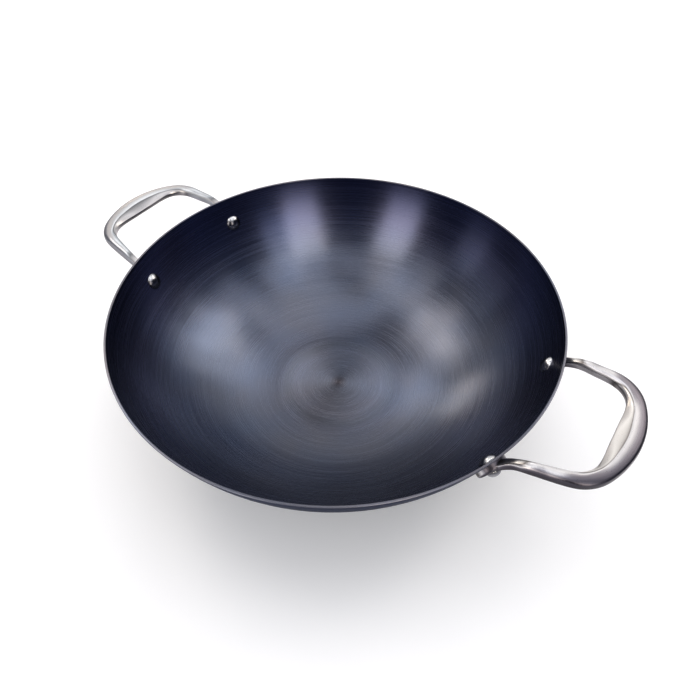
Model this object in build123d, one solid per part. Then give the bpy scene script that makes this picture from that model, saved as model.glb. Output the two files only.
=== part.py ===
from build123d import *
from math import asin, atan2, cos, degrees, radians, sin, sqrt
import os

# Wok in millimetres. The origin is the middle of the underside of the base, +Z is up,
# and the two handles lie along +X and -X.

# Bowl: one spun sheet with a flat base, a soft knuckle and a single wall arc up to a plain cut rim
mouth_diameter = 337.0
bowl_height = 100.0
sheet_thickness = 1.5
base_diameter = 94.0
knuckle_radius = 68.0
knuckle_angle = 8.2
rim_edge_break = 0.4

# Rivets: a domed head inside the bowl and a flatter formed head on the handle's foot
rivet_drop = 21.3
rivet_spread = 98.2
rivet_shank_diameter = 5.0
rivet_hole_clearance = 0.1
dome_diameter = 13.0
dome_height = 3.6
dome_brim = 0.5
button_diameter = 10.4
button_height = 4.8
button_brim = 1.6

# Handle: a cast loop in a plane that climbs outward from the roots of its two legs
root_setback = 3.5
root_drop = 8.6
handle_rise_angle = 9.3
finger_gap = 46.8
grip_width = 17.4
grip_bow_radius = 76.7
grip_crest_inset = 10.4
grip_crown = 2.7
grip_side = 4.0
leg_spread_at_root = 100.6
leg_spread_at_grip = 84.2
leg_width_at_root = 5.2
leg_width_at_grip = 9.8
leg_crown = 3.6
leg_side = 3.2
inner_corner_radius = 17.9
outer_corner_radius = 24.9
underside_edge_radius = 1.2

# Foot of each leg: a leaf-shaped plate on the outside of the bowl, round its rivet
foot_width = 22.2
foot_thickness = 4.6
foot_edge_radius = 1.6
foot_neck_width = 9.6
foot_neck_rise = 5.8
foot_neck_crown = 1.6
neck_inset = 0.3

# Shares of each stretch of the loop at which a section is drawn, from the middle of the grip towards the root
grip_shares = (0.0, 0.5)
corner_shares = (0.0, 0.25, 0.5, 0.75)
leg_shares = (0.0, 0.36, 0.72)

# Shares of the bend from a leg into its foot at which a section is drawn
neck_shares = (0.3, 0.55, 0.78, 1.0)

# Share of a curve's reach at which its handles lie, so that the curve is a quarter of an ellipse
quarter_share = 0.5523

quarter_turn = 90
half_turn = 180

mouth_radius = mouth_diameter / 2
base_radius = base_diameter / 2


def wall_normal(slope):
    """Unit vector (radial, vertical) that points out of the bowl through a wall of this slope in degrees."""
    return Vector(sin(radians(slope)), -cos(radians(slope)))


# Wall arc of the inner surface, in (radial, vertical) values: tangent to the knuckle, ending at the mouth
knuckle_centre = Vector(base_radius, sheet_thickness + knuckle_radius)
wall_foot = knuckle_centre + wall_normal(knuckle_angle) * knuckle_radius
wall_chord = Vector(mouth_radius, bowl_height) - wall_foot
chord_slope = degrees(atan2(wall_chord.Y, wall_chord.X))
wall_radius = wall_chord.length / (2 * sin(radians(chord_slope - knuckle_angle)))
wall_centre = wall_foot - wall_normal(knuckle_angle) * wall_radius


def wall_slope(height, radius=wall_radius):
    """Slope in degrees, at a height above the base, of the wall's arc of this radius."""
    return quarter_turn - degrees(asin((wall_centre.Y - height) / radius))


def bowl_half(offset):
    """Half outline of the bowl from the axis to the rim, moved outward from the inner surface by an offset."""
    bottom = sheet_thickness - offset
    radius = wall_radius + offset
    floor = Line((0, bottom), (base_radius, bottom))
    knuckle = CenterArc(knuckle_centre, knuckle_radius + offset, -quarter_turn, knuckle_angle)
    wall_turn = wall_slope(bowl_height, radius) - knuckle_angle
    wall = CenterArc(wall_centre, radius, knuckle_angle - quarter_turn, wall_turn)
    return floor, knuckle, wall


def spun(outline):
    """Solid spun about the wok's axis from a closed outline of (radial, vertical) lines."""
    return revolve(Plane.XZ * make_face(outline), Axis.Z)


def bowl_blank():
    """Sheet bowl before its rivet holes are drilled."""
    inner = bowl_half(0)
    outer = bowl_half(sheet_thickness)
    rim = Line(inner[-1] @ 1, outer[-1] @ 1)
    axis = Line(inner[0] @ 0, outer[0] @ 0)
    blank = spun([*inner, *outer, rim, axis])
    rim_edges = blank.edges().group_by(Axis.Z)[-1]
    return fillet(rim_edges, rim_edge_break)


def room_inside_skin():
    """Everything within the outside of the bowl, which cuts the seats that lie on it."""
    outer = bowl_half(sheet_thickness)
    lid = Line(outer[-1] @ 1, (0, bowl_height))
    axis = Line((0, bowl_height), outer[0] @ 0)
    return spun([*outer, lid, axis])


# Rivet place on the inner wall, and the turn about the axis from the handle's middle to a rivet
rivet_slope = wall_slope(bowl_height - rivet_drop)
rivet_outward = wall_normal(rivet_slope)
rivet_point = wall_centre + rivet_outward * wall_radius
rivet_turn = degrees(asin(rivet_spread / 2 / rivet_point.X))


def rivet_plane(side, depth=0):
    """Plane square to a rivet of the +X handle, at a depth out from the inner wall: X runs round, Y up the wall."""
    place = rivet_point + rivet_outward * depth
    flat = Plane(
        Vector(place.X, 0, place.Y),
        x_dir=(0, 1, 0),
        z_dir=(rivet_outward.X, 0, rivet_outward.Y),
    )
    return Plane(Rot(0, 0, side * rivet_turn) * flat.location)


def peg(radius, length):
    """Round peg that stands on its own base plane."""
    return Cylinder(radius, length, align=(Align.CENTER, Align.CENTER, Align.MIN))


def cap(radius, height, brim):
    """Rivet head: a shallow spherical cap on a short straight brim, standing on its base."""
    crown = height - brim
    ball_radius = (radius**2 + crown**2) / (2 * crown)
    half_angle = degrees(asin(radius / ball_radius))
    side = Line((radius, 0), (radius, brim))
    dome = CenterArc((0, height - ball_radius), ball_radius, quarter_turn - half_angle, half_angle)
    return spun([Line((0, 0), (radius, 0)), side, dome, Line((0, height), (0, 0))])


# A rivet grips the sheet and the foot, so its outer head starts at this depth from the inner wall
seat_depth = sheet_thickness + foot_thickness


def rivet(side):
    """Solid rivet: a dome seated on the curved wall, a shank and an outer button on the flat foot."""
    inward = rivet_plane(side).location * Rot(half_turn, 0, 0)
    dome = inward * cap(dome_diameter / 2, dome_height, dome_brim) - bowl_blank()
    # The shank starts inside the dome, whose underside follows the wall
    shank_start = dome_height / 2
    shank = rivet_plane(side, -shank_start).location * peg(rivet_shank_diameter / 2, shank_start + seat_depth)
    button = rivet_plane(side, seat_depth).location * cap(button_diameter / 2, button_height, button_brim)
    return dome + shank + button


def rivet_bore(side):
    """Cutter for a rivet's hole, from inside the bowl to past the outer head."""
    reach = dome_height + seat_depth + button_height
    radius = rivet_shank_diameter / 2 + rivet_hole_clearance
    return rivet_plane(side, -dome_height).location * peg(radius, reach)


# Plane of the loop: X outward up the slope, Y round, Z square to it, with the roots of the legs on its Y axis
loop_plane = Plane(
    (mouth_radius - root_setback, 0, bowl_height - root_drop),
    x_dir=(cos(radians(handle_rise_angle)), 0, sin(radians(handle_rise_angle))),
    z_dir=(-sin(radians(handle_rise_angle)), 0, cos(radians(handle_rise_angle))),
)
loop_up = loop_plane.z_dir


def leg_edge(outward):
    """Ends of one edge of a leg in the loop's plane, at the grip and at the root: outward is 1 outside, -1 inside."""
    at_grip = (leg_spread_at_grip + outward * leg_width_at_grip) / 2
    at_root = (leg_spread_at_root + outward * leg_width_at_root) / 2
    return Vector(finger_gap, at_grip), Vector(0, at_root)


def inner_outline():
    """Half of the loop's inner edge, from the middle of the grip to the root: straight, corner, straight."""
    at_grip, at_root = leg_edge(-1)
    return FilletPolyline((finger_gap, 0), at_grip, at_root, radius=inner_corner_radius).edges()


def outer_outline():
    """Half of the loop's outer edge: the grip's wide bow, a corner arc tangent to it, and the straight leg."""
    bow_centre = Vector(finger_gap + grip_width - grip_bow_radius, 0)
    at_grip, at_root = leg_edge(1)
    leg_line = (at_grip - at_root).normalized()
    into_loop = Vector(leg_line.Y, -leg_line.X)
    # The corner's centre lies one corner radius inside the leg's line and inside the bow
    start = at_root + into_loop * outer_corner_radius - bow_centre
    along = start.dot(leg_line)
    reach = grip_bow_radius - outer_corner_radius
    run = sqrt(along**2 - start.dot(start) + reach**2) - along
    corner_centre = bow_centre + start + leg_line * run
    bow_turn = degrees(atan2(corner_centre.Y, corner_centre.X - bow_centre.X))
    leg_turn = degrees(atan2(-into_loop.Y, -into_loop.X))
    bow = CenterArc(bow_centre, grip_bow_radius, 0, bow_turn)
    corner = CenterArc(corner_centre, outer_corner_radius, bow_turn, leg_turn - bow_turn)
    return bow, corner, Line(corner @ 1, at_root)


def crown_lines(half, crown, slim):
    """Top of a section up to its crest and down: a flat facet first on the grip (slim 0), even on a leg (slim 1)."""
    start = Vector(-half, 0)
    crest = Vector((half - grip_crest_inset) * (1 - slim), crown)
    end = Vector(half, 0)
    facet = (crest - start) * ((1 - slim) / 3)
    up = Vector(0, crown * quarter_share)
    to_crest = Vector((crest.X - start.X) * quarter_share, 0)
    from_crest = Vector((end.X - crest.X) * quarter_share, 0)
    rise = Bezier(start, start + facet + up * slim, crest - facet - to_crest * slim, crest)
    fall = Bezier(crest, crest + from_crest, end + up, end)
    return rise, fall


def section(centre, across, up, width, crown, side, slim=1):
    """D-shaped section on a plane: flat underside, straight sides and a crown above its widest line."""
    half = width / 2
    corner = min(underside_edge_radius, width / 4, side / 2)
    sides = FilletPolyline((-half, 0), (-half, -side), (half, -side), (half, 0), radius=corner)
    face = make_face([*crown_lines(half, crown, slim), *sides.edges()])
    square = across.cross(up).normalized()
    return Plane(centre, x_dir=across, z_dir=square) * face


def loop_sections(hand):
    """Sections of half the loop, from the middle of the grip towards the root, on the +Y (1) or -Y (-1) side."""
    sections = []
    stretches = zip(inner_outline(), outer_outline(), (grip_shares, corner_shares, leg_shares), (0, None, 1))
    for inner, outer, shares, slimness in stretches:
        for share in shares:
            near = inner.position_at(share)
            far = outer.position_at(share)
            slim = share if slimness is None else slimness
            crown = grip_crown + (leg_crown - grip_crown) * slim
            side = grip_side + (leg_side - grip_side) * slim
            near = loop_plane.from_local_coords(Vector(near.X, hand * near.Y))
            far = loop_plane.from_local_coords(Vector(far.X, hand * far.Y))
            across = (far - near).normalized()
            width = (far - near).length
            sections.append(section((near + far) / 2, across, loop_up, width, crown, side, slim))
    return sections


def neck_sections(hand):
    """Sections that carry a leg down from the loop's plane, through an even bend, into its foot."""
    leg_end_share = leg_shares[-1]
    near = inner_outline()[-1].position_at(leg_end_share)
    far = outer_outline()[-1].position_at(leg_end_share)
    start_width = far.Y - near.Y
    start = loop_plane.from_local_coords(Vector((near.X + far.X) / 2, hand * (near.Y + far.Y) / 2))
    on_grip = loop_plane.from_local_coords(Vector(finger_gap, hand * leg_spread_at_grip / 2))
    inward = (start - on_grip).normalized()
    foot_side = foot_thickness - foot_neck_crown
    # The neck ends just inside the plate, so that no two faces of them coincide
    end_width = foot_neck_width - 2 * neck_inset
    foot = rivet_plane(hand, seat_depth - foot_neck_crown - neck_inset)
    # The leg's middle line and the foot's middle line meet at the corner that the bend rounds
    corner = start + inward * ((foot.origin - start).dot(foot.z_dir) / inward.dot(foot.z_dir))
    end = foot.origin + foot.y_dir * foot_neck_rise
    sections = []
    for share in neck_shares:
        centre = start * (1 - share) ** 2 + corner * (2 * share * (1 - share)) + end * share**2
        along = ((corner - start) * (1 - share) + (end - corner) * share).normalized()
        across = Vector(0, hand, 0) * (1 - share) + foot.x_dir * (hand * share)
        across = (across - along * across.dot(along)).normalized()
        width = start_width + (end_width - start_width) * share**2
        crown = leg_crown + (foot_neck_crown - leg_crown) * share
        side = leg_side + (foot_side - leg_side) * share
        sections.append(section(centre, across, across.cross(along) * hand, width, crown, side))
    return sections


def foot_plate(side):
    """Leaf-shaped plate round a rivet, up to the flat outer face that its button sits on."""
    round_end = Circle(foot_width / 2)
    neck_end = Pos(0, foot_neck_rise) * Circle(foot_neck_width / 2)
    outline = make_hull((round_end.edges() + neck_end.edges()))
    plate = extrude(outline, seat_depth)
    plate = fillet(plate.faces().sort_by(Axis.Z)[-1].edges(), foot_edge_radius)
    return rivet_plane(side).location * plate


def handle():
    """Cast handle of the +X side in one piece: loop, bent necks and feet seated on the bowl's skin."""
    right = loop_sections(1) + neck_sections(1)
    left = loop_sections(-1)[1:] + neck_sections(-1)
    body = loft(right[::-1] + left)
    for side in (1, -1):
        body += foot_plate(side)
    body -= room_inside_skin()
    for side in (1, -1):
        body -= rivet_bore(side)
    return body


def bowl():
    """Spun bowl with the four rivet holes."""
    blank = bowl_blank()
    for turn in (0, half_turn):
        for side in (1, -1):
            blank -= Rot(0, 0, turn) * rivet_bore(side)
    return blank


def write(shape, node):
    """One file for one piece."""
    shape.label = node
    export_step(shape, f"parts/{node}.step")


os.makedirs("parts", exist_ok=True)
write(bowl(), "wok_bowl")
one_handle = handle()
write(one_handle, "right_handle")
write(Rot(0, 0, half_turn) * one_handle, "left_handle")
for side, place in ((1, "back"), (-1, "front")):
    one_rivet = rivet(side)
    write(one_rivet, f"right_{place}_rivet")
    opposite_rivet = Rot(0, 0, half_turn) * rivet(-side)
    write(opposite_rivet, f"left_{place}_rivet")
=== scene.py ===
import bpy
import numpy as np
from mathutils import Matrix, Vector


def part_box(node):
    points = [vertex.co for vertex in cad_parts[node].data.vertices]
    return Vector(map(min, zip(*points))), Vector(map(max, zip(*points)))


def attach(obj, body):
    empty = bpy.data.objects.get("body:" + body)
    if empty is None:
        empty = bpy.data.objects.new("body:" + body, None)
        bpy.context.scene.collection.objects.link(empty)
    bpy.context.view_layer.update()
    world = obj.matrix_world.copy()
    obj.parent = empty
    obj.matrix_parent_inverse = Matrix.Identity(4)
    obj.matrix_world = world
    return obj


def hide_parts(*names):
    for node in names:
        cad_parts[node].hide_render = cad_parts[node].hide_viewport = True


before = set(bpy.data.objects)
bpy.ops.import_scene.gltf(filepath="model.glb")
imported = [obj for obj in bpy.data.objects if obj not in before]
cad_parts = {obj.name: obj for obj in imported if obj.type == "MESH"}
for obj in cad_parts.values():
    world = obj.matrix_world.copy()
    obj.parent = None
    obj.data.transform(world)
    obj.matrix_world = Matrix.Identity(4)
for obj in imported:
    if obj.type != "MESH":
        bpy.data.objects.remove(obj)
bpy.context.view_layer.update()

# Carbon steel wok with two cast loop handles. Metres, +Z up, handles along X.

scene = bpy.context.scene
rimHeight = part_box("wok_bowl")[1].z  # the bowl's top in the frame

mm = 0.001
tau = 2 * np.pi


# sRGB hex to linear RGBA: c / 12.92 up to 0.04045, and ((c + 0.055) / 1.055)^2.4 above it
def toLinear(hexText):
    channels = np.array([int(hexText[k:k + 2], 16) for k in (1, 3, 5)]) / 255
    low = channels / 12.92
    high = ((channels + 0.055) / 1.055) ** 2.4
    return [*np.where(channels > 0.04045, high, low), 1.0]


# The same direction at length 1: v / |v|
def unit(v):
    return v / np.linalg.norm(v, axis=-1, keepdims=True)


# Smooth mesh object at the origin from points (n, 3) and faces (m, 4). A face whose last two
# corners are the same is a triangle, and uv holds a pair for each corner of each face.
def meshObject(name, points, quads, materials, uv=None, materialIndex=None):
    keep = np.ones(quads.shape, bool)
    keep[:, 3] = quads[:, 2] != quads[:, 3]
    loops = quads[keep]
    starts = np.r_[0, np.cumsum(keep.sum(1))[:-1]]
    mesh = bpy.data.meshes.new(name)
    mesh.vertices.add(len(points))
    mesh.vertices.foreach_set("co", np.asarray(points, np.float32).ravel())
    mesh.loops.add(len(loops))
    mesh.loops.foreach_set("vertex_index", loops.astype(np.int32))
    mesh.polygons.add(len(quads))
    mesh.polygons.foreach_set("loop_start", starts.astype(np.int32))
    mesh.polygons.foreach_set("use_smooth", np.ones(len(quads), bool))
    for material in materials:
        mesh.materials.append(material)
    if materialIndex is not None:
        mesh.polygons.foreach_set("material_index", materialIndex.astype(np.int32))
    mesh.update(calc_edges=True)
    if uv is not None:
        layer = mesh.uv_layers.new(name="UVMap")
        layer.data.foreach_set("uv", uv[keep].astype(np.float32).ravel())
    mesh.validate()
    piece = bpy.data.objects.new(name, mesh)
    scene.collection.objects.link(piece)
    return piece


# Surface of revolution about Z of a profile that starts and ends on the axis: the point of row i
# and segment j is (r_i cos a_j, r_i sin a_j, z_i) with a_j = tau j / segments, and a pole is one
# point. Its faces look to the left of the profile's run. A corner's uv is its share of a turn and
# its distance along the profile.
def spinProfile(radius, height, segments):
    angle = tau * np.arange(segments) / segments
    ring = np.stack([np.cos(angle), np.sin(angle)], -1)
    rows = len(radius) - 2
    level = np.broadcast_to(height[1:-1, None, None], (rows, segments, 1))
    rings = np.concatenate([radius[1:-1, None, None] * ring, level], -1).reshape(-1, 3)
    points = np.concatenate([rings, [[0, 0, height[0]], [0, 0, height[-1]]]])

    row, column = np.meshgrid(np.arange(rows - 1), np.arange(segments), indexing="ij")
    here = row * segments + column
    beside = row * segments + (column + 1) % segments
    quads = np.stack([here, here + segments, beside + segments, beside], -1).reshape(-1, 4)
    arc = np.r_[0, np.cumsum(np.hypot(np.diff(radius), np.diff(height)))]
    before, after = column / segments, (column + 1) / segments
    turn = np.stack([before, before, after, after], -1)
    run = np.stack([arc[row + 1], arc[row + 2], arc[row + 2], arc[row + 1]], -1)
    uv = np.stack([turn, run], -1).reshape(-1, 4, 2)

    # A fan round each pole, with corners (pole, one, two, two) and the pole's turn taken midway
    j = np.arange(segments)
    k = (j + 1) % segments
    end = (rows - 1) * segments
    before, after = j / segments, (j + 1) / segments
    fans = (
        (len(rings), j, k, before, after, arc[0], arc[1]),
        (len(rings) + 1, end + k, end + j, after, before, arc[-1], arc[-2]),
    )
    for pole, one, two, turnOne, turnTwo, poleRun, ringRun in fans:
        fan = np.stack([np.full(segments, pole), one, two, two], -1)
        turn = np.stack([(turnOne + turnTwo) / 2, turnOne, turnTwo, turnTwo], -1)
        run = np.broadcast_to([poleRun, ringRun, ringRun, ringRun], turn.shape)
        quads = np.concatenate([quads, fan])
        uv = np.concatenate([uv, np.stack([turn, run], -1)])
    return points, quads, uv


# Adds one node: settings are its properties, inputs its values, links {input: (node, output)} and
# stops a colour ramp's (position, hex) pairs. Sockets go by name or number: on a Map Range 1 to 4
# are from min, from max, to min and to max, on a Mix 6 and 7 are its colours and output 2 its
# result, and on a Multiply Add 0, 1 and 2 give 0 * 1 + 2.
def addNode(tree, kind, settings=None, inputs=None, links=None, stops=()):
    made = tree.nodes.new(kind)
    for key, value in (settings or {}).items():
        setattr(made, key, value)
    for key, value in (inputs or {}).items():
        made.inputs[key].default_value = value
    for key, (source, output) in (links or {}).items():
        tree.links.new(source.outputs[output], made.inputs[key])
    for count, (position, hexText) in enumerate(stops):
        elements = made.color_ramp.elements
        element = elements[count] if count < 2 else elements.new(1.0)
        element.position = position
        element.color = toLinear(hexText)
    return made


# An empty material and its node tree
def newMaterial(name):
    material = bpy.data.materials.new(name)
    material.use_nodes = True
    material.node_tree.nodes.clear()
    return material, material.node_tree


# Bowl: one sheet, whose line goes out over the inside, over the ground rim and back underneath
bowl = {
    "mouthRadius": 168.5 * mm,
    "sheet": 1.5 * mm,
    "baseRadius": 47 * mm,
    "knuckleRadius": 68 * mm,
    "knuckleAngle": np.radians(8.2),
    "rimEdgeBreak": 0.4 * mm,
    "segments": 480,
    "floorRows": 14,
    "knuckleRows": 8,
    "wallRows": 62,
    "edgeRows": 6,
}


# Points centre + radius (sin a, -cos a), which climb from the bottom of a circle as a grows
def upArc(centre, radius, a):
    return centre + radius * np.stack([np.sin(a), -np.cos(a)], -1)


knuckleCentre = np.array([bowl["baseRadius"], bowl["sheet"] + bowl["knuckleRadius"]])


# Centre and radius of the inner wall's arc. It starts in line with the knuckle's end and passes
# the mouth, so its radius is chord / (2 sin(slope of the chord - angle of the knuckle)).
def wallArc():
    knuckle = bowl["knuckleAngle"]
    foot = upArc(knuckleCentre, bowl["knuckleRadius"], knuckle)
    chord = np.array([bowl["mouthRadius"], rimHeight]) - foot
    chordSlope = np.arctan2(chord[1], chord[0])
    radius = np.hypot(*chord) / (2 * np.sin(chordSlope - knuckle))
    return upArc(foot, -radius, knuckle), radius


wallCentre, wallRadius = wallArc()


# Slope of the wall at a height, for a surface this far outside the inner one:
# a quarter turn less asin((height of the arc's centre - height) / radius)
def wallSlope(height, offset=0.0):
    return np.pi / 2 - np.arcsin((wallCentre[1] - height) / (wallRadius + offset))


# Half of the bowl's line, from the axis to a height, for a surface this far outside the inner
# one: the flat floor, the knuckle's arc and the wall's arc
def bowlHalf(offset, top):
    across = np.linspace(0, bowl["baseRadius"], bowl["floorRows"], endpoint=False)
    floor = np.stack([across, np.full(len(across), bowl["sheet"] - offset)], -1)
    a = np.linspace(0, bowl["knuckleAngle"], bowl["knuckleRows"], endpoint=False)
    bend = upArc(knuckleCentre, bowl["knuckleRadius"] + offset, a)
    a = np.linspace(bowl["knuckleAngle"], wallSlope(top, offset), bowl["wallRows"])
    wall = upArc(wallCentre, wallRadius + offset, a)
    return np.concatenate([floor, bend, wall])


# Spin of the inner line, the rim and the outer line, each with its own finish. The rim's edges
# are quarter rounds: radius +- e (1 - cos a), height top + e sin a.
def makeBowl(materials):
    edge = bowl["rimEdgeBreak"]
    top = rimHeight - edge
    inner = bowlHalf(0.0, top)
    outer = bowlHalf(bowl["sheet"], top)[::-1]
    turn = np.linspace(0, np.pi / 2, bowl["edgeRows"])[1:]
    rise = top + edge * np.sin(turn)
    inset = edge * (1 - np.cos(turn))
    innerEdge = np.stack([inner[-1, 0] + inset, rise], -1)
    outerEdge = np.stack([outer[0, 0] - inset, rise], -1)[::-1]
    line = np.concatenate([inner, innerEdge, outerEdge, outer])
    segments = bowl["segments"]
    points, quads, uv = spinProfile(line[:, 0], line[:, 1], segments)
    rows = len(line) - 3
    faceRow = np.repeat([*range(rows), 0, rows], segments)  # the two fans come last
    rimStart = len(inner) - 1
    rimEnd = rimStart + len(innerEdge) + len(outerEdge)
    finishAndPaintedLight = np.where(faceRow < rimStart, 0, np.where(faceRow < rimEnd, 1, 2))
    return meshObject("wokBowl", points, quads, materials, uv, finishAndPaintedLight)


# Rivets: a polished dome inside, a shank through sheet and foot, and a formed button outside
rivet = {
    "drop": 21.3 * mm,
    "spread": 98.2 * mm,
    "shankRadius": 2.5 * mm,
    "domeRadius": 6.5 * mm,
    "domeHeight": 3.6 * mm,
    "domeBrim": 0.5 * mm,
    "domeSeat": 0.3 * mm,
    "buttonRadius": 5.2 * mm,
    "buttonHeight": 4.8 * mm,
    "buttonBrim": 1.6 * mm,
    "footThickness": 4.6 * mm,
    "segments": 96,
    "capRows": 20,
    "ease": 0.012,  # share of a cap's radius over which its corner is eased
    "easeInset": 0.3,  # where the eased corner's middle point lies, in shares of that
    "easeDrop": 0.1,
}
rivetSlope = wallSlope(rimHeight - rivet["drop"])
rivetRadius = wallCentre[0] + wallRadius * np.sin(rivetSlope)
rivetTurn = np.arcsin(rivet["spread"] / 2 / rivetRadius)
seatDepth = bowl["sheet"] + rivet["footThickness"]


# Origin on the inner wall and axes (round, up the wall, outward) of a rivet of the +X handle,
# with outward = radial sin s - vertical cos s for the wall's slope s
def rivetAxes(side):
    a = side * rivetTurn
    radial = np.array([np.cos(a), np.sin(a), 0.0])
    around = np.array([-np.sin(a), np.cos(a), 0.0])
    vertical = np.array([0.0, 0.0, 1.0])
    outward = radial * np.sin(rivetSlope) - vertical * np.cos(rivetSlope)
    upWall = radial * np.cos(rivetSlope) + vertical * np.sin(rivetSlope)
    origin = radial * rivetRadius + vertical * (rimHeight - rivet["drop"])
    return origin, np.stack([around, upWall, outward])


# Spherical cap on a straight brim, from the pole outwards. With r its radius and c the height of
# its crown, the ball's radius is R = (r^2 + c^2) / 2c. Two points ease the corner to the brim.
def capLine(radius, height, brim):
    crown = height - brim
    ball = (radius ** 2 + crown ** 2) / (2 * crown)
    a = np.linspace(0, np.arcsin(radius / ball), rivet["capRows"])
    cap = np.stack([ball * np.sin(a), height - ball + ball * np.cos(a)], -1)
    ease = radius * rivet["ease"]
    middle = [radius - ease * rivet["easeInset"], brim - ease * rivet["easeDrop"]]
    return np.concatenate([cap[:-1], [middle, [radius, brim - ease]]])


# Half a turn about Z for the pieces of the -X side
def turned(points, half):
    return points * np.array([-1, -1, 1]) if half else points


# Spin of dome, shank and button about the rivet's own axis, laid along the wall's normal
def makeRivet(name, side, half, material):
    dome = capLine(rivet["domeRadius"], rivet["domeHeight"], rivet["domeBrim"]) * [1, -1]
    button = capLine(rivet["buttonRadius"], rivet["buttonHeight"], rivet["buttonBrim"])
    shank = np.array([
        [rivet["domeRadius"], rivet["domeSeat"]],
        [rivet["shankRadius"], rivet["domeSeat"]],
        [rivet["shankRadius"], seatDepth],
        [rivet["buttonRadius"], seatDepth],
    ])
    line = np.concatenate([dome, shank, (button + [0, seatDepth])[::-1]])
    points, quads, uv = spinProfile(line[:, 0], line[:, 1], rivet["segments"])
    origin, axes = rivetAxes(side)
    # The profile has the steel on its left, so the faces are turned over. That puts a fan's
    # repeated corner first, and validate() drops the fans, so each pole is open, under 0.8 mm wide.
    quads, uv = quads[:, ::-1], uv[:, ::-1]
    return meshObject(name, turned(points @ axes + origin, half), quads, [material], uv)


# Handle: a D-shaped section carried round the loop, down the two necks and into the feet
handle = {
    "rootSetback": 3.5 * mm,
    "rootDrop": 8.6 * mm,
    "rise": np.radians(9.3),
    "fingerGap": 46.8 * mm,
    "gripWidth": 17.4 * mm,
    "bowRadius": 76.7 * mm,
    "crestInset": 8.6 * mm,
    "gripCrown": 2.34 * mm,
    "gripSide": 4.0 * mm,
    "spreadAtRoot": 100.6 * mm,
    "spreadAtGrip": 84.2 * mm,
    "widthAtRoot": 5.2 * mm,
    "widthAtGrip": 9.8 * mm,
    "legRise": 1.0 * mm,
    "legBowInside": 0.4 * mm,
    "legBowOutside": 1.5 * mm,
    "legCrown": 3.6 * mm,
    "legSide": 3.2 * mm,
    "innerCorner": 17.9 * mm,
    "outerCorner": 24.9 * mm,
    "crownPower": 2.5,
    "facetPower": 1.25,
    "undersidePower": 6.5,
    "gripShares": np.array([0, 0.5]),  # where the sections of half the loop stand
    "cornerShares": np.array([0, 0.25, 0.5, 0.75]),
    "legShares": np.array([0, 0.36, 0.72]),
    "bowShares": np.array([0, 0, 0, 0, 0.25, 0.55, 0.85, 1.0, 0.65]),  # how far each has bowed
    "neckShares": np.array([0.3, 0.55, 0.78, 1.0]),
    "sectionPoints": 80,
    "stations": 220,
    "footWidth": 22.2 * mm,
    "footEdge": 1.6 * mm,
    "footPoints": 120,
    "footShares": (0.25, 0.5, 0.75),  # of the way out, where the rings of its faces lie
    "footEdgeRows": 7,
    "footWallRows": 5,
    "neckWidth": 9.6 * mm,
    "neckRise": 5.8 * mm,
    "neckCrown": 1.6 * mm,
    "neckInset": 0.3 * mm,
    "voxel": 0.38 * mm,
    "smoothing": 7,
    "smoothFactor": 0.5,
    "seatGap": 0.02 * mm,
}


# Point of the loop's tilted plane, p outward up the slope, q round and h square to it:
# x = root + p cos r - h sin r, z = root + p sin r + h cos r
def loopPoint(p, q, h=0.0):
    c, s = np.cos(handle["rise"]), np.sin(handle["rise"])
    x = bowl["mouthRadius"] - handle["rootSetback"] + p * c - h * s
    z = rimHeight - handle["rootDrop"] + p * s + h * c
    return np.stack(np.broadcast_arrays(x, q, z), -1)


# Ends (p, q) of a leg's edge at the grip and at the root, q = (spread +- width) / 2:
# outward is 1 for the outer edge and -1 for the inner one
def legEnds(outward):
    atGrip = (handle["spreadAtGrip"] + outward * handle["widthAtGrip"]) / 2
    atRoot = (handle["spreadAtRoot"] + outward * handle["widthAtRoot"]) / 2
    return np.array([handle["fingerGap"], atGrip]), np.array([0.0, atRoot])


# Points centre + radius (cos a, sin a)
def onArc(centre, radius, a):
    return centre + radius * np.stack([np.cos(a), np.sin(a)], -1)


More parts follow.
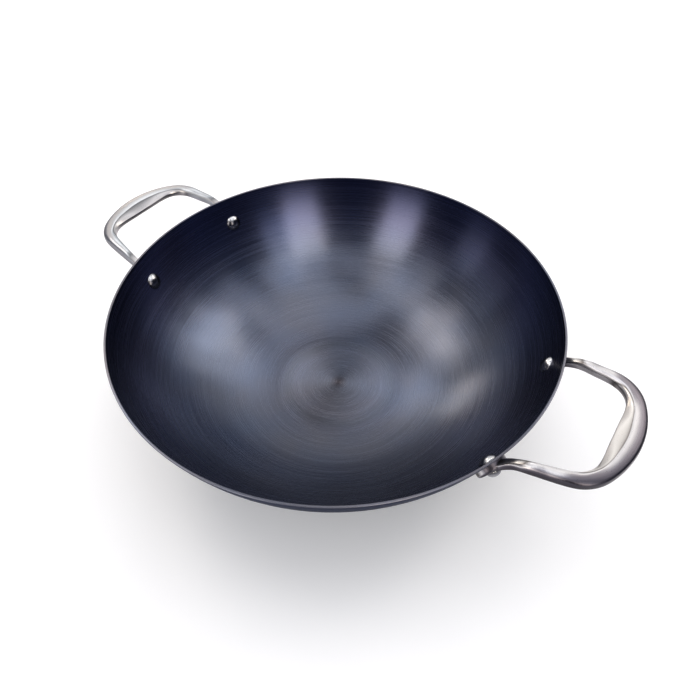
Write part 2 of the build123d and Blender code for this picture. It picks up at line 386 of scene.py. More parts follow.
# Matching points (p, q) of the inner and outer edges from mid grip to the leg's end, and how
# leg-like each is. Inner edge: the line p = gap, the inner corner's arc and the line to the root.
# Outer edge: the bow's arc, the outer corner's arc tangent to it and the line to the root.
def halfOutlines():
    gap = handle["fingerGap"]
    gripEnd, rootEnd = legEnds(-1)
    alongLeg = unit(rootEnd - gripEnd)
    toMiddle = np.array([0.0, -1.0])
    half = np.arccos(alongLeg @ toMiddle) / 2
    reach = handle["innerCorner"] / np.tan(half)
    innerCentre = gripEnd + unit(alongLeg + toMiddle) * handle["innerCorner"] / np.sin(half)
    innerA, innerB = gripEnd + toMiddle * reach, gripEnd + alongLeg * reach

    # The outer corner's centre lies on the leg's line moved in, at a distance of bow - corner
    # from the bow's centre: run^2 + 2 run (start . leg) + start^2 = (bow - corner)^2
    outGrip, outRoot = legEnds(1)
    bowRadius, corner = handle["bowRadius"], handle["outerCorner"]
    bowCentre = np.array([gap + handle["gripWidth"] - bowRadius, 0.0])
    legLine = unit(outGrip - outRoot)
    intoLoop = np.array([legLine[1], -legLine[0]])
    start = outRoot + intoLoop * corner - bowCentre
    along = start @ legLine
    run = np.sqrt(along ** 2 - start @ start + (bowRadius - corner) ** 2) - along
    outerCentre = bowCentre + start + legLine * run
    bowTurn = np.arctan2(*(outerCentre - bowCentre)[::-1])
    legTurn = np.arctan2(-intoLoop[1], -intoLoop[0])
    outerB = onArc(outerCentre, corner, legTurn)

    t = handle["gripShares"]
    innerGrip = np.stack([np.full(len(t), gap), t * innerA[1]], -1)
    outerGrip = onArc(bowCentre, bowRadius, t * bowTurn)
    c = handle["cornerShares"]
    a = np.arctan2(*(innerA - innerCentre)[::-1])
    b = np.arctan2(*(innerB - innerCentre)[::-1])
    b = b + tau * (b < a)
    innerBend = onArc(innerCentre, handle["innerCorner"], a + (b - a) * c)
    outerBend = onArc(outerCentre, corner, bowTurn + (legTurn - bowTurn) * c)
    s = handle["legShares"][:, None]
    innerLeg = innerB + (rootEnd - innerB) * s
    outerLeg = outerB + (outRoot - outerB) * s
    slim = np.concatenate([0 * t, c, np.ones(len(s))])
    inner = np.concatenate([innerGrip, innerBend, innerLeg])
    return inner, np.concatenate([outerGrip, outerBend, outerLeg]), slim


# Closed section rings (stations, points, 2): a facet up to the crest, a fall from it and a rounded
# underside. The crest stands at x_c = (w/2 - inset)(1 - slim), y = crown. Fall, for a from 0 to a
# quarter turn: x = x_c + (w/2 - x_c) cos^(2/p) a, y = crown sin^(2/p) a. Rise: the facet
# x = x_c - (w/2 + x_c) s, y = crown (1 - s^f), mixed by slim with a curve like the fall.
# Underside: x = w/2 sgn(cos a) |cos a|^(2/u), y = -side |sin a|^(2/u), with rounded edges.
def sectionRing(width, crown, side, slim):
    half = width[:, None] / 2
    crown, side, slim = crown[:, None], side[:, None], slim[:, None]
    crest = (half - handle["crestInset"]) * (1 - slim)
    quarter = handle["sectionPoints"] // 4
    rest = handle["sectionPoints"] - 2 * quarter
    a = np.pi / 2 * (np.arange(quarter) + 0.5) / quarter
    below = np.pi * (1 + (np.arange(rest) + 0.5) / rest)
    soft = 2 / handle["crownPower"]
    fallX = crest + (half - crest) * np.cos(a) ** soft
    fallY = crown * np.sin(a) ** soft
    share = a / (np.pi / 2)
    facet = 1 - share ** handle["facetPower"]
    riseX = crest - (half + crest) * (slim * np.sin(a) ** soft + (1 - slim) * share)
    riseY = crown * (slim * np.cos(a) ** soft + (1 - slim) * facet)
    power = 2 / handle["undersidePower"]
    belowX = half * np.sign(np.cos(below)) * np.abs(np.cos(below)) ** power
    belowY = -side * np.abs(np.sin(below)) ** power
    x = np.concatenate([fallX, riseX, belowX], 1)
    y = np.concatenate([fallY, riseY, belowY], 1)
    return np.stack([x, y], -1)


# Natural cubic spline through whole rings, with knots at the chord lengths of their centres. On
# a span of length h, with b = 1 - a, P = a P0 + b P1 + ((a^3 - a) M0 + (b^3 - b) M1) h^2 / 6.
def splineRings(rings):
    knots = np.r_[0, np.cumsum(np.linalg.norm(np.diff(rings.mean(1), axis=0), axis=1))]
    h = np.diff(knots)
    flat = rings.reshape(len(rings), -1)
    slope = np.diff(flat, axis=0) / h[:, None]
    system = np.eye(len(knots))
    inner = np.arange(1, len(knots) - 1)
    system[inner, inner - 1] = h[:-1]
    system[inner, inner] = 2 * (h[:-1] + h[1:])
    system[inner, inner + 1] = h[1:]
    known = np.concatenate([0 * flat[:1], 6 * np.diff(slope, axis=0), 0 * flat[:1]])
    moment = np.linalg.solve(system, known)
    at = np.linspace(0, knots[-1], handle["stations"])
    k = np.clip(np.searchsorted(knots, at, side="right") - 1, 0, len(h) - 1)
    a = ((knots[k + 1] - at) / h[k])[:, None]
    b = 1 - a
    bend = ((a ** 3 - a) * moment[k] + (b ** 3 - b) * moment[k + 1]) * h[k][:, None] ** 2 / 6
    return (a * flat[k] + b * flat[k + 1] + bend).reshape(len(at), *rings.shape[1:])


# Faces of a stack of closed rings: a band between each two rings, and a fan at each end round a
# middle point. The two middle points follow the rings' points.
def stackFaces(stations, around):
    i, k = np.meshgrid(np.arange(stations - 1), np.arange(around), indexing="ij")
    here, beside = i * around + k, i * around + (k + 1) % around
    bands = np.stack([here, beside, beside + around, here + around], -1).reshape(-1, 4)
    k = np.arange(around)
    nextK = (k + 1) % around
    end = (stations - 1) * around
    first = np.stack([np.full(around, stations * around), nextK, k, k], -1)
    last = np.full(around, stations * around + 1)
    last = np.stack([last, end + k, end + nextK, end + nextK], -1)
    return np.concatenate([bands, first, last])


# Rings centre_i + x_ik across_i + y_ik up_i, joined by the spline and closed at both ends
def sweptTube(centre, across, up, ring):
    along, over = ring[..., :1] * across[:, None], ring[..., 1:] * up[:, None]
    tube = splineRings(centre[:, None] + along + over)
    points = np.concatenate([tube.reshape(-1, 3), tube[[0, -1]].mean(1)])
    return points, stackFaces(*tube.shape[:2])


# Centre, axes and section sizes of the bend from a leg into its foot. Its centre line is the
# curve (1-t)^2 A + 2t(1-t) B + t^2 C, where B is the bend's corner, and with t it twists from the
# loop's plane to the wall's.
def neckStations(hand):
    inner, outer, _ = halfOutlines()
    near, far = inner[-1], outer[-1]
    start = loopPoint((near[0] + far[0]) / 2, hand * (near[1] + far[1]) / 2)
    inward = unit(start - loopPoint(handle["fingerGap"], hand * handle["spreadAtGrip"] / 2))
    origin, (aroundAxis, upWall, outward) = rivetAxes(hand)
    footSide = rivet["footThickness"] - handle["neckCrown"]
    foot = origin + outward * (seatDepth - handle["neckCrown"] - handle["neckInset"])
    corner = start + inward * ((foot - start) @ outward / (inward @ outward))
    end = foot + upWall * handle["neckRise"]
    t = handle["neckShares"][:, None]
    centre = start * (1 - t) ** 2 + corner * 2 * t * (1 - t) + end * t ** 2
    along = unit((corner - start) * (1 - t) + (end - corner) * t)
    across = np.array([0.0, hand, 0.0]) * (1 - t) + aroundAxis * hand * t
    across = unit(across - along * np.sum(across * along, -1, keepdims=True))
    up = np.cross(across, along) * hand
    t = t[:, 0]
    startWidth = far[1] - near[1]
    endWidth = handle["neckWidth"] - 2 * handle["neckInset"]
    width = startWidth + (endWidth - startWidth) * t ** 2
    crown = handle["legCrown"] + (handle["neckCrown"] - handle["legCrown"]) * t
    side = handle["legSide"] + (footSide - handle["legSide"]) * t
    return centre, across, up, width, crown, side, np.ones(len(t))


# Centre, axes and section sizes of half the loop, from mid grip to the leg's end: each section
# stands midway between the two edges. The legs bow a little outward and upward on their way.
def loopStations(hand):
    inner, outer, slim = halfOutlines()
    bow = handle["bowShares"]
    lift = handle["legRise"] * bow
    near = loopPoint(inner[:, 0], hand * (inner[:, 1] + handle["legBowInside"] * bow), lift)
    far = loopPoint(outer[:, 0], hand * (outer[:, 1] + handle["legBowOutside"] * bow), lift)
    up = np.array([-np.sin(handle["rise"]), 0.0, np.cos(handle["rise"])])
    up = np.broadcast_to(up, near.shape)
    width = np.linalg.norm(far - near, axis=1)
    crown = handle["gripCrown"] + (handle["legCrown"] - handle["gripCrown"]) * slim
    side = handle["gripSide"] + (handle["legSide"] - handle["gripSide"]) * slim
    return (near + far) / 2, unit(far - near), up, width, crown, side, slim


# Leaf-shaped plate round a rivet, the hull of two discs with a rounded outer edge. The outline in
# a direction n is the further of R n and c + r n. The rounded edge draws it in by e (1 - cos b)
# and raises it by e sin b, and the faces scale it to the middle.
def footPlate(hand):
    origin, axes = rivetAxes(hand)
    a = tau * np.arange(handle["footPoints"]) / handle["footPoints"]
    n = np.stack([np.cos(a), np.sin(a)], -1)
    big, small = handle["footWidth"] / 2, handle["neckWidth"] / 2
    top = np.array([0.0, handle["neckRise"]])
    outline = np.where((big > small + n @ top)[:, None], big * n, top + small * n)
    edge = handle["footEdge"]
    brow = seatDepth - edge
    shares = handle["footShares"]
    back = [(outline * s, 0.0) for s in (*shares, 1.0)]
    wall = [(outline, depth) for depth in np.linspace(0, brow, handle["footWallRows"])[1:-1]]
    rounded = [
        (outline - n * edge * (1 - np.cos(b)), brow + edge * np.sin(b))
        for b in np.linspace(0, np.pi / 2, handle["footEdgeRows"])
    ]
    face = [((outline - n * edge) * s, seatDepth) for s in shares[::-1]]
    rings = back + wall + rounded + face
    flat = [np.column_stack([xy, np.full(len(xy), z)]) for xy, z in rings]
    flat = np.concatenate([*flat, [[0, 0, 0.0], [0, 0, seatDepth]]])
    return origin + flat @ axes, stackFaces(len(rings), len(outline))


# One point and face list from several closed surfaces
def joined(parts):
    points, quads, count = [], [], 0
    for p, q in parts:
        points.append(p)
        quads.append(q + count)
        count += len(p)
    return np.concatenate(points), np.concatenate(quads)


# Moves what reaches into the sheet back onto the bowl's skin, along the wall's normal: the
# distance from the arc's centre becomes at least the skin's radius
def outsideBowl(points):
    flat = np.hypot(points[:, 0], points[:, 1])
    away = np.stack([flat - wallCentre[0], points[:, 2] - wallCentre[1]], -1)
    distance = np.linalg.norm(away, axis=1)
    skin = wallRadius + bowl["sheet"] + handle["seatGap"]
    push = np.maximum(skin / distance, 1)
    newFlat = wallCentre[0] + away[:, 0] * push
    newHeight = wallCentre[1] + away[:, 1] * push
    return np.column_stack([points[:, :2] * (newFlat / flat)[:, None], newHeight])


# Loop, necks and feet are closed surfaces, fused by a fine remesh that leaves the soft joins of
# a casting. The sections run from one leg's end, over mid grip, to the other's.
def makeHandle(name, half, material):
    right = [np.concatenate(pair) for pair in zip(loopStations(1), neckStations(1))]
    left = [np.concatenate(pair) for pair in zip(loopStations(-1), neckStations(-1))]
    centre, across, up, width, crown, side, slim = [
        np.concatenate([a[::-1], b[1:]]) for a, b in zip(right, left)
    ]
    tube = sweptTube(centre, across, up, sectionRing(width, crown, side, slim))
    points, quads = joined([tube, footPlate(1), footPlate(-1)])
    rough = meshObject(name + "Rough", points, quads, [])
    remesh = rough.modifiers.new("fuse", "REMESH")
    remesh.mode = "VOXEL"
    remesh.voxel_size = handle["voxel"]
    relax = rough.modifiers.new("relax", "SMOOTH")
    relax.factor = handle["smoothFactor"]
    relax.iterations = handle["smoothing"]
    depsgraph = bpy.context.evaluated_depsgraph_get()
    mesh = bpy.data.meshes.new_from_object(rough.evaluated_get(depsgraph))
    bpy.data.objects.remove(rough)
    co = np.zeros(len(mesh.vertices) * 3, np.float32)
    mesh.vertices.foreach_get("co", co)
    co = turned(outsideBowl(co.reshape(-1, 3).astype(float)), half)
    mesh.vertices.foreach_set("co", co.astype(np.float32).ravel())
    mesh.polygons.foreach_set("use_smooth", np.ones(len(mesh.polygons), bool))
    mesh.materials.append(material)
    mesh.name = name
    mesh.update()
    piece = bpy.data.objects.new(name, mesh)
    scene.collection.objects.link(piece)
    print(name, len(mesh.polygons), "faces")
    return piece


noiseReach = {1: 0.3, 2: 0.7}  # a Map Range's from values: a noise mostly lies between them
bumpDepth = 0.02 * mm  # what a bump of strength 1 stands for


# Carbon steel spun to shape and scoured in circles, which spread each lamp into a fan of light
# across them. Tone: stops by distance from the axis over the mouth's radius, times slow clouds of
# oxide tint, times 1 + lineTone s, where s goes from -1 to 1 with the circles. They are in the
# roughness and the bump as well.
def spunSteel(name, look):
    material, tree = newMaterial(name)
    place = addNode(tree, "ShaderNodeTexCoord")
    profile = addNode(tree, "ShaderNodeSeparateXYZ", links={0: (place, "UV")})
    flat = addNode(tree, "ShaderNodeVectorMath", {"operation": "MULTIPLY"}, {1: (1, 1, 0)},
                   {0: (place, "Object")})
    reach = addNode(tree, "ShaderNodeVectorMath", {"operation": "LENGTH"}, links={0: (flat, 0)})
    around = addNode(tree, "ShaderNodeVectorMath", {"operation": "NORMALIZE"},
                     links={0: (flat, 0)})

    # Noise that runs quickly across the circles, at their pitch, and slowly along them
    def circles(pitch, slowness, detail):
        across = addNode(tree, "ShaderNodeMath", {"operation": "MULTIPLY"}, {1: 1 / pitch},
                         {0: (profile, "Y")})
        slow = addNode(tree, "ShaderNodeVectorMath", {"operation": "SCALE"},
                       {"Scale": slowness}, {0: (around, 0)})
        apart = addNode(tree, "ShaderNodeSeparateXYZ", links={0: (slow, 0)})
        where = addNode(tree, "ShaderNodeCombineXYZ",
                        links={"X": (apart, "X"), "Y": (apart, "Y"), "Z": (across, 0)})
        return addNode(tree, "ShaderNodeTexNoise", links={"Vector": (where, 0)},
                       inputs={"Scale": 1, "Detail": detail, "Roughness": 0.6})

    fine = circles(look["finePitch"], look["fineAlong"], 3)
    coarse = circles(look["coarsePitch"], look["coarseAlong"], 2)
    both = addNode(tree, "ShaderNodeMath", {"operation": "MULTIPLY_ADD"},
                   {1: look["fineWeight"]}, {0: (fine, 0), 2: (coarse, 0)})
    low, high = look["circleReach"]
    spread = addNode(tree, "ShaderNodeMapRange", inputs={1: low, 2: high, 3: -1.0, 4: 1.0},
                     links={0: (both, 0)})

    # The clouds tint the steel and shift the tone's stops a little in and out
    cloud = addNode(tree, "ShaderNodeTexNoise", links={"Vector": (place, "Object")},
                    inputs={"Scale": 1 / look["cloudWidth"], "Detail": 3, "Roughness": 0.55})
    share = addNode(tree, "ShaderNodeMath", {"operation": "DIVIDE"},
                    {1: bowl["mouthRadius"]}, {0: (reach, "Value")})
    drift = addNode(tree, "ShaderNodeMapRange", links={0: (cloud, 0)},
                    inputs=noiseReach | {3: -look["cloudDrift"], 4: look["cloudDrift"]})
    wander = addNode(tree, "ShaderNodeMath", {"operation": "ADD"},
                     links={0: (share, 0), 1: (drift, 0)})
    tone = addNode(tree, "ShaderNodeValToRGB", links={0: (wander, 0)}, stops=look["stops"])
    hue = addNode(tree, "ShaderNodeValToRGB", links={0: (cloud, 0)}, stops=look["clouds"])
    tint = addNode(tree, "ShaderNodeMix", {"data_type": "RGBA", "blend_type": "MULTIPLY"},
                   {0: 1.0}, {6: (tone, 0), 7: (hue, 0)})

    gain = addNode(tree, "ShaderNodeMath", {"operation": "MULTIPLY_ADD"},
                   {1: look["lineTone"], 2: 1.0}, {0: (spread, 0)})
    colour = addNode(tree, "ShaderNodeVectorMath", {"operation": "SCALE"},
                     links={0: (tint, 2), "Scale": (gain, 0)})
    rough = addNode(tree, "ShaderNodeMath", {"operation": "MULTIPLY_ADD"},
                    {1: look["lineRough"], 2: look["roughness"]}, {0: (spread, 0)})
    bump = addNode(tree, "ShaderNodeBump", links={"Height": (both, 0)},
                   inputs={"Strength": look["bump"], "Distance": bumpDepth})
    tangent = addNode(tree, "ShaderNodeTangent", {"direction_type": "RADIAL", "axis": "Z"})
    shader = addNode(tree, "ShaderNodeBsdfPrincipled", inputs={
        "Metallic": 1.0,
        "Anisotropic": look["anisotropy"],
        "Anisotropic Rotation": 0.25,
        "Specular Tint": toLinear(look["edgeTint"]),
    }, links={
        "Base Color": (colour, 0),
        "Roughness": (rough, 0),
        "Normal": (bump, 0),
        "Tangent": (tangent, 0),
    })
    addNode(tree, "ShaderNodeOutputMaterial", links={"Surface": (shader, 0)})
    return material


# What the sheet's three finishes share. Real scouring marks are about 0.1 mm apart, which the
# render can't show, so the circles are drawn coarser.
sheetSteel = {
    "clouds": [(0.35, "#eef4ff"), (0.65, "#fff8f4")],
    "cloudWidth": 1000 / 11 * mm,  # 91 mm
    "cloudDrift": 0.012,  # in shares of the mouth's radius
    "fineAlong": 1.3,  # a fine circle changes every radius / 1.3 along it, 130 mm at the mouth
    "coarseAlong": 0.6,
    "fineWeight": 2.0,  # the fine circles count twice, so the sum's middle is 1.5
    "circleReach": (1.1, 1.9),
    "edgeTint": "#ffffff",
}
# Blued inside: slate grey with soft circles, darkening to navy near the rim, where the
# darkening is painted shade for the dark reflections there
bluedInside = spunSteel("bluedCarbonSteelSpun", sheetSteel | {
    # Tone by distance from the axis: the dark stops from 0.92 out to the rim are painted shade
    "stops": [
        (0.0, "#504c50"), (0.05, "#616570"), (0.22, "#6a6e7b"), (0.275, "#606571"),
        (0.30, "#636876"), (0.62, "#656b79"), (0.80, "#616879"), (0.92, "#4d526a"),
        (1.0, "#353a54"),
    ],
    "finePitch": 0.6 * mm, "coarsePitch": 2.2 * mm, "lineTone": 0.10, "lineRough": 0.035,
    "roughness": 0.26, "anisotropy": 0.7, "bump": 0.06,
})
# Cut edge, ground bright and since dulled: a thin grey line that catches the lamps
groundRim = spunSteel("groundCarbonSteelEdge", sheetSteel | {
    "stops": [(0.0, "#6f717b"), (1.0, "#6f717b")],
    "finePitch": 0.4 * mm, "coarsePitch": 2.0 * mm, "lineTone": 0.06, "lineRough": 0.05,
    "roughness": 0.3, "anisotropy": 0.4, "bump": 0.1,
})
# Blued outside, never scoured smooth: darker, more even and more matt
bluedOutside = spunSteel("bluedCarbonSteelSkin", sheetSteel | {
    "stops": [(0.0, "#2c2f3a"), (0.5, "#30333e"), (1.0, "#323643")],
    "finePitch": 0.8 * mm, "coarsePitch": 3.0 * mm, "lineTone": 0.08, "lineRough": 0.05,
    "roughness": 0.38, "anisotropy": 0.5, "bump": 0.25, "edgeTint": "#b6b8c4",
})


# Stainless steel with an even grain, cast and tumbled or turned and polished. Tone: cloudy stops
# times a ramp by how far a face looks away from the bowl, 0.5 (1 + n_x sgn x), where one is
# given, times a ramp by how far it looks up, n_z. Both ramps paint light into the colour: painted
# highlights on the crests and painted shade on the flanks.
def castMetal(name, look):
    material, tree = newMaterial(name)
    place = addNode(tree, "ShaderNodeTexCoord")
    grain = addNode(tree, "ShaderNodeTexNoise", links={"Vector": (place, "Object")},
                    inputs={"Scale": 1 / look["grainWidth"], "Detail": 3, "Roughness": 0.6})
    cloud = addNode(tree, "ShaderNodeTexNoise", links={"Vector": (place, "Object")},
                    inputs={"Scale": 1 / look["cloudWidth"], "Detail": 2})
    normal = addNode(tree, "ShaderNodeSeparateXYZ", links={0: (place, "Normal")})
    # Ramps by the face's direction: painted highlight and painted shade
    ramps = []
    if "facing" in look:
        where = addNode(tree, "ShaderNodeSeparateXYZ", links={0: (place, "Object")})
        side = addNode(tree, "ShaderNodeMath", {"operation": "SIGN"}, links={0: (where, "X")})
        away = addNode(tree, "ShaderNodeMath", {"operation": "MULTIPLY"},
                       links={0: (normal, "X"), 1: (side, 0)})
        away = addNode(tree, "ShaderNodeMapRange", inputs={1: -1.0, 2: 1.0, 3: 0.0, 4: 1.0},
                       links={0: (away, 0)})
        ramps.append(((away, 0), look["facing"]))
    ramps.append(((normal, "Z"), look["upward"]))
    tone = addNode(tree, "ShaderNodeValToRGB", links={0: (cloud, 0)}, stops=look["stops"])
    colour = (tone, 0)
    for source, stops in ramps:
        finishAndPaintedLight = addNode(tree, "ShaderNodeValToRGB", links={0: source}, stops=stops)
        mixed = addNode(tree, "ShaderNodeMix", {"data_type": "RGBA", "blend_type": "MULTIPLY"},
                        {0: 1.0}, {6: colour, 7: (finishAndPaintedLight, 0)})
        colour = (mixed, 2)
    shiny, dull = look["rough"]
    rough = addNode(tree, "ShaderNodeMapRange", links={0: (grain, 0)},
                    inputs=noiseReach | {3: shiny, 4: dull})
    bump = addNode(tree, "ShaderNodeBump", links={"Height": (grain, 0)},
                   inputs={"Strength": look["bump"], "Distance": bumpDepth})
    shader = addNode(tree, "ShaderNodeBsdfPrincipled", inputs={"Metallic": 1.0}, links={
        "Base Color": colour,
        "Roughness": (rough, 0),
        "Normal": (bump, 0),
    })
    addNode(tree, "ShaderNodeOutputMaterial", links={"Surface": (shader, 0)})
    return material


# Cast stainless steel, tumbled to a satin: a silky grey, with painted highlights on the crests
# and painted shade on the outer flanks.
# A real satin's grain is about 0.1 mm wide, and it is drawn coarser, so that it shows.
casting = {
    "grainWidth": 5 / 6 * mm, "cloudWidth": 50 / 3 * mm,
    # upward: painted shade on faces that look sideways, painted highlight on those that look up
    "upward": [(0.0, "#b0adb0"), (0.55, "#ffffff")],
    "rough": (0.27, 0.31), "bump": 0.025,
}
# The two handles get lit and shaded copies of one steel, differing in painted light and shade; the
# left one is painted darker all over
rightCasting = castMetal("satinCastStainless", casting | {
    "stops": [(0.3, "#dbd9db"), (0.7, "#e2e0e2")],
    # facing: painted light across the grip, a bright inner facet, a dark line, a white painted
    # highlight beside the crest and painted shade on the outer flank
    "facing": [
        (0.0, "#d8d6d3"), (0.24, "#e8e4df"), (0.275, "#fcfaf4"), (0.34, "#827d7a"),
        (0.385, "#ffffff"), (0.425, "#ffffff"), (0.455, "#b0afb5"), (0.48, "#86848c"),
        (0.53, "#646169"), (0.64, "#5a585f"), (1.0, "#605e65"),
    ],
})
leftCasting = castMetal("satinCastStainlessFar", casting | {
    "stops": [(0.3, "#c9cacd"), (0.7, "#d0d1d4")],
    # facing: painted light across the grip, a bright inner facet, a dark line, a painted highlight
    # beside the crest and painted shade darkening to the outer flank
    "facing": [
        (0.0, "#d4d2d0"), (0.26, "#fdf9f6"), (0.335, "#a2a1a2"), (0.40, "#f6fbff"),
        (0.47, "#d4d4d8"), (0.56, "#acabb0"), (0.70, "#7a787e"), (1.0, "#504e55"),
    ],
})
# Stainless steel, turned and polished: mirror-like with the faintest haze, its grain drawn coarse
rivetSteel = castMetal("polishedRivetSteel", {
    "grainWidth": 0.4 * mm, "cloudWidth": 5 * mm,
    "stops": [(0.3, "#dcdcde"), (0.7, "#e4e4e5")],
    # upward: painted shade on faces that look partly up and a painted highlight on those that look
    # nearly straight up
    "upward": [
        (0.0, "#a6a6aa"), (0.30, "#77777d"), (0.58, "#58585e"), (0.70, "#66666c"),
        (0.81, "#f6f6f6"),
    ],
    "rough": (0.16, 0.20), "bump": 0.02,
})
print("finishes made")

wokBowl = makeBowl([bluedInside, groundRim, bluedOutside])
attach(wokBowl, "root")
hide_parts("wok_bowl")
print("bowl made")

for sideName, half, steel in (("right", False, rightCasting), ("left", True, leftCasting)):
    piece = makeHandle(sideName + "HandleCasting", half, steel)
    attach(piece, "root")
    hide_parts(sideName + "_handle")
    for side in (1, -1):
        backward = (side > 0) != half
        node = f"{sideName}_{'back' if backward else 'front'}_rivet"
        rivetName = sideName + ("Back" if backward else "Front") + "Rivet"
        piece = makeRivet(rivetName, side, half, rivetSteel)
        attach(piece, "root")
        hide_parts(node)
print("handles and rivets made")


# Camera, at the photograph's angle, distance and lens
view = {
    "turn": np.radians(36.48),
    "rise": np.radians(43.249),
    "reach": 443.9 * mm,
    "lookRise": np.radians(48.143),
    "lookYaw": np.radians(1.205),
    "lookRoll": np.radians(-1.559),
    "focalPixels": 584.26,
    "imagePixels": 700,
    "sensorWidth": 36,  # of the camera, in mm, as its lens is
}


# Stands on a sphere round the middle of the mouth, and turns by rise, yaw and roll from there
def makeCamera():
    data = bpy.data.cameras.new("camera")
    data.sensor_width = view["sensorWidth"]
    data.lens = view["focalPixels"] / view["imagePixels"] * view["sensorWidth"]
    camera = bpy.data.objects.new("camera", data)
    scene.collection.objects.link(camera)
    turn = Matrix.Rotation(view["turn"], 3, "Z")
    away = Vector((0, -np.cos(view["rise"]), np.sin(view["rise"]))) * view["reach"]
    look = turn @ Matrix.Rotation(np.pi / 2 - view["lookRise"], 3, "X")
    look = look @ Matrix.Rotation(-view["lookYaw"], 3, "Y")
    look = look @ Matrix.Rotation(view["lookRoll"], 3, "Z")
    spot = turn @ away + Vector((0, 0, rimHeight))
    camera.matrix_world = Matrix.Translation(spot) @ look.to_4x4()
    scene.camera = camera


# Floor: off-white paint, which glows a little to the camera and to mirrors near the wok, and
# fully well away from it, where it runs out to plain white like a sweep of backdrop paper
floorPaint = {
    "size": 12.0,
    "colour": "#f1f1f5",
    "roughness": 0.5,
    "glow": (0.155, 1.0),
    "glowReach": (0.6, 2.4),
}


# One square; glow = the eased run of the distance from the wok, times 1 for the rays that see it
def makeFloor():
    half = floorPaint["size"] / 2
    points = np.array([[-half, -half, 0], [half, -half, 0], [half, half, 0], [-half, half, 0]])
    material, tree = newMaterial("paintedFloor")
    shader = addNode(tree, "ShaderNodeBsdfPrincipled", inputs={
        "Base Color": toLinear(floorPaint["colour"]), "Roughness": floorPaint["roughness"],
    })
    path = addNode(tree, "ShaderNodeLightPath")
    seen = addNode(tree, "ShaderNodeMath", {"operation": "MAXIMUM"},
                   links={0: (path, "Is Camera Ray"), 1: (path, "Is Glossy Ray")})
    seen = addNode(tree, "ShaderNodeMath", {"operation": "MAXIMUM"},
                   links={0: (seen, 0), 1: (path, "Is Transmission Ray")})
    place = addNode(tree, "ShaderNodeTexCoord")
    reach = addNode(tree, "ShaderNodeVectorMath", {"operation": "LENGTH"},
                    links={0: (place, "Object")})
    near, far = floorPaint["glowReach"]
    dim, full = floorPaint["glow"]
    glowing = addNode(tree, "ShaderNodeMapRange", {"interpolation_type": "SMOOTHSTEP"},
                      {1: near, 2: far, 3: dim, 4: full}, {0: (reach, "Value")})
    lift = addNode(tree, "ShaderNodeMath", {"operation": "MULTIPLY"},
                   links={0: (seen, 0), 1: (glowing, 0)})
    glow = addNode(tree, "ShaderNodeEmission", inputs={"Color": (1, 1, 1, 1)},
                   links={"Strength": (lift, 0)})
    both = addNode(tree, "ShaderNodeAddShader", links={0: (shader, 0), 1: (glow, 0)})
    addNode(tree, "ShaderNodeOutputMaterial", links={"Surface": (both, 0)})
    floor = meshObject("floor", points, np.array([[0, 1, 2, 3]]), [material])


# Room: white to the camera, and to mirrors a pale backdrop that dims towards the camera's side
room = {
    "strength": 0.80,
    "nearCamera": "#3a4058",
    "backdrop": "#e8e8e8",
    "dimming": (-1.0, -0.2),  # by the ray's dot product with the way to the camera
}


# World colour = white for camera rays, the mirrored room for glossy and transmission rays, and
# one plain strength for the rest
def makeWorld():
    world = bpy.data.worlds.new("studio")
    scene.world = world
    world.use_nodes = True
    tree = world.node_tree
    tree.nodes.clear()
    path = addNode(tree, "ShaderNodeLightPath")
    place = addNode(tree, "ShaderNodeTexCoord")
    toCamera = addNode(tree, "ShaderNodeVectorMath", {"operation": "DOT_PRODUCT"},
                       {1: (np.sin(view["turn"]), -np.cos(view["turn"]), 0)},
                       {0: (place, "Generated")})
    start, end = room["dimming"]
    backdrop = addNode(tree, "ShaderNodeMapRange", {"interpolation_type": "SMOOTHSTEP"},
                       {1: start, 2: end, 3: 1.0, 4: 0.0}, {0: (toCamera, 1)})
    mirror = addNode(tree, "ShaderNodeValToRGB", links={0: (backdrop, 0)},
                     stops=[(0.0, room["nearCamera"]), (1.0, room["backdrop"])])
    mirrored = addNode(tree, "ShaderNodeMath", {"operation": "MAXIMUM"},
                       links={0: (path, "Is Glossy Ray"), 1: (path, "Is Transmission Ray")})
    level = addNode(tree, "ShaderNodeMix", {"data_type": "RGBA"},
                    {6: [room["strength"]] * 3 + [1]}, {0: (mirrored, 0), 7: (mirror, 0)})
    white = addNode(tree, "ShaderNodeMix", {"data_type": "RGBA"}, {7: (1, 1, 1, 1)},
                    {0: (path, "Is Camera Ray"), 6: (level, 2)})
    background = addNode(tree, "ShaderNodeBackground", inputs={"Strength": 1.0},
                         links={"Color": (white, 2)})
    addNode(tree, "ShaderNodeOutputWorld", links={"Surface": (background, 0)})


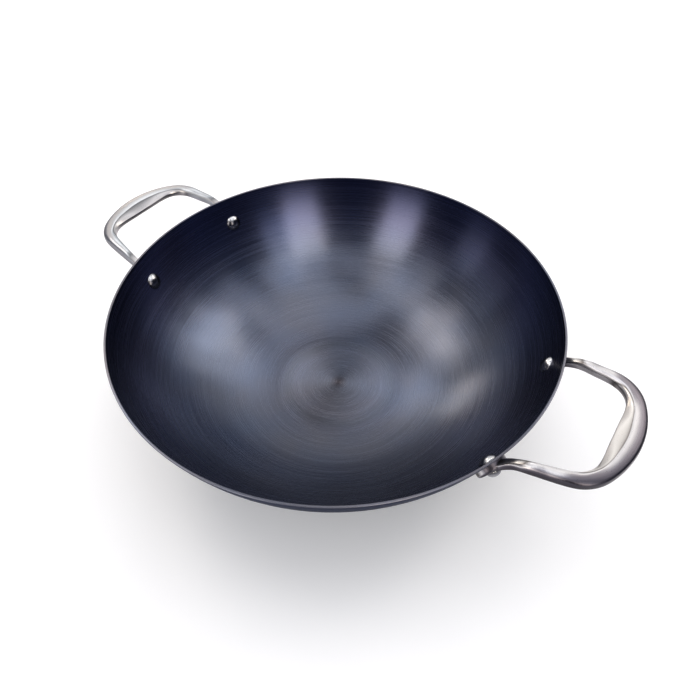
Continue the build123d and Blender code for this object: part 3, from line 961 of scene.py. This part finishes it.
# Softboxes: turn and rise in degrees, distance from the bowl, width, height, radiance, warmth,
# and whether it lights the floor. Those beside the camera stand for its reflectors: they show in
# the steel and leave the shadow alone.
softboxes = {
    "rightOfCamera": (326, 34, 1.6, 0.50, 1.10, 4.1, 1.1, False),
    "farRightOfCamera": (344, 40, 1.6, 0.40, 0.80, 1.3, -0.2, False),
    "aboveRight": (320, 62, 1.6, 0.80, 0.40, 1.1, 0.2, False),
    "leftOfCamera": (266, 31, 1.6, 0.50, 1.10, 4.0, 0.9, False),
    "aboveLeft": (262, 64, 1.6, 0.80, 0.40, 1.1, 0.2, False),
    "highLeft": (228, 70, 1.6, 0.60, 0.40, 1.0, 0.2, False),
    "wideLeft": (232, 50, 1.6, 0.50, 0.60, 0.8, 0.2, False),
    "highRight": (0, 60, 1.6, 0.50, 0.50, 1.6, 0.0, False),
    "right": (66, 43, 1.6, 0.55, 0.60, 2.9, 0.8, True),
    "lowRight": (77, 30, 1.6, 0.50, 0.40, 1.4, 1.0, True),
    "outerRight": (88, 44, 1.6, 0.30, 0.50, 1.0, 0.6, True),
    "innerRight": (44, 52, 1.6, 0.60, 0.60, 1.1, 0.2, True),
    "nearBack": (104, 52, 0.76, 0.20, 0.22, 1.0, 0.2, True),
    "lowBack": (109, 46, 0.76, 0.20, 0.22, 0.65, 0.3, True),
    "behind": (141, 45, 1.6, 0.35, 0.38, 2.1, 0.4, True),
    "behindLeft": (153, 25, 1.6, 0.38, 0.24, 3.4, 1.8, True),
    "besideLeft": (168, 45, 1.6, 0.38, 0.44, 1.8, 1.0, True),
    "left": (182, 53, 1.6, 0.60, 0.55, 2.4, 0.7, True),
    "innerLeft": (204, 62, 1.6, 0.60, 0.40, 1.2, 0.5, True),
    "farLeft": (206, 20, 1.6, 0.80, 0.60, 0.4, 0.0, True),
    "rightWall": (222, 18, 1.6, 0.40, 0.60, 0.8, 0.3, False),
    "overhead": (80, 80, 1.6, 1.00, 1.00, 1.22, 0.0, True),
}
warmthToRed, warmthToBlue = 0.1, 0.13  # what a warmth of 1 adds to red and takes from blue


# Soft rectangular lamps facing the bowl: power = radiance * pi * area
def makeLamps():
    for name, box in softboxes.items():
        turn, rise, distance, width, height, radiance, warmth, onFloor = box
        data = bpy.data.lights.new(name, "AREA")
        data.shape = "RECTANGLE"
        data.size = width
        data.size_y = height
        data.energy = radiance * np.pi * width * height
        data.color = (1 + warmthToRed * warmth, 1, 1 - warmthToBlue * warmth)
        lamp = bpy.data.objects.new(name, data)
        scene.collection.objects.link(lamp)
        lamp.visible_diffuse = onFloor
        lamp.visible_camera = False
        a, e = np.radians(turn), np.radians(rise)
        spot = Vector((np.cos(e) * np.cos(a), np.cos(e) * np.sin(a), np.sin(e)))
        facing = spot.to_track_quat("Z", "Y").to_matrix().to_4x4()
        lamp.matrix_world = Matrix.Translation(spot * distance) @ facing


makeLamps()
makeCamera()
makeFloor()
makeWorld()
scene.view_settings.view_transform = "Standard"
print("studio made")

bpy.context.view_layer.update()
